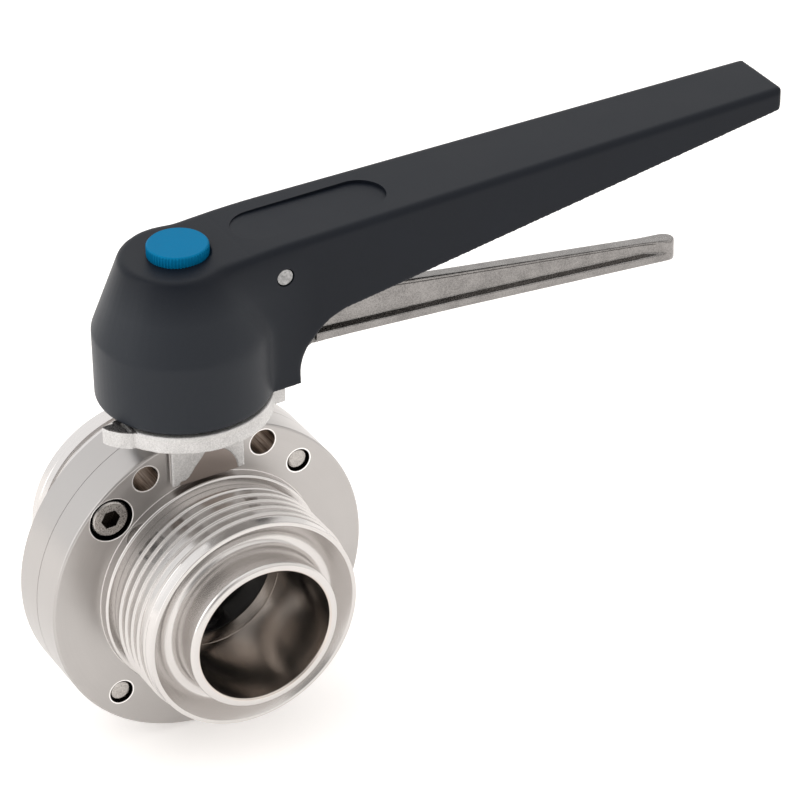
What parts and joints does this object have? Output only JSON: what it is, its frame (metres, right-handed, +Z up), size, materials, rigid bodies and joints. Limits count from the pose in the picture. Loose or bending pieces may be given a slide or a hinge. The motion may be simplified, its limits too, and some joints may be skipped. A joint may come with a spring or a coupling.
{
  "type": "sanitary butterfly valve",
  "caption": "Sanitary butterfly valve with threaded union ends and a long handle whose squeeze trigger locks in a notched ring.",
  "frame": {"origin": "where the pipe axis crosses the stem axis, at the centre of the disc", "axes": "+Y along the pipe towards the rear end, +X along the handle with the valve closed, +Z up the stem"},
  "size_m": [0.2815, 0.104, 0.179],
  "materials": {
    "turned_steel": "fine turned stainless steel",
    "polished_steel": "ground stainless steel",
    "cast_steel": "bead blasted cast stainless steel",
    "lever_steel": "tumbled cast stainless steel",
    "screw_steel": "bright stainless steel",
    "spring_steel": "drawn spring wire",
    "seat_rubber": "smooth black rubber",
    "bush_plastic": "ivory bearing plastic",
    "handle_plastic": "fine textured charcoal nylon",
    "knob_plastic": "blue plastic"
  },
  "bodies": {
    "valve_body": {"body_front": "turned_steel", "body_rear": "turned_steel", "union_front": "turned_steel", "union_rear": "turned_steel", "seat_seal": "seat_rubber", "upper_bush": "bush_plastic", "lower_bush": "bush_plastic", "stem_o_rings": "seat_rubber", "position_bracket": "cast_steel", "bracket_screws": "screw_steel", "front_cap_screws": "screw_steel", "rear_cap_screws": "screw_steel", "thrust_washer": "bush_plastic"},
    "handle": {"grip_handle": "handle_plastic", "hub_insert": "cast_steel", "lock_washer": "screw_steel", "handle_screw": "screw_steel", "knob_cap": "knob_plastic", "upper_stem": "polished_steel", "lower_stem": "polished_steel", "disc": "polished_steel", "trigger_pin": "polished_steel", "trigger_spacers": "bush_plastic", "trigger_spring": "spring_steel"},
    "trigger": {"trigger_lever": "lever_steel"}
  },
  "joints": [
    {"name": "handle_turn", "type": "hinge", "parent": "valve_body", "child": "handle", "pos_m": [0, 0, 0], "axis": [0, 0, 1], "range_deg": [0, 90]},
    {"name": "trigger_squeeze", "type": "hinge", "parent": "handle", "child": "trigger", "pos_m": [0.0292, 0, 0.1088], "axis": [0, -1, 0], "range_deg": [-3.2, 14], "stiffness_Nm_per_rad": 0.6, "deforming": ["trigger_spring"]}
  ]
}
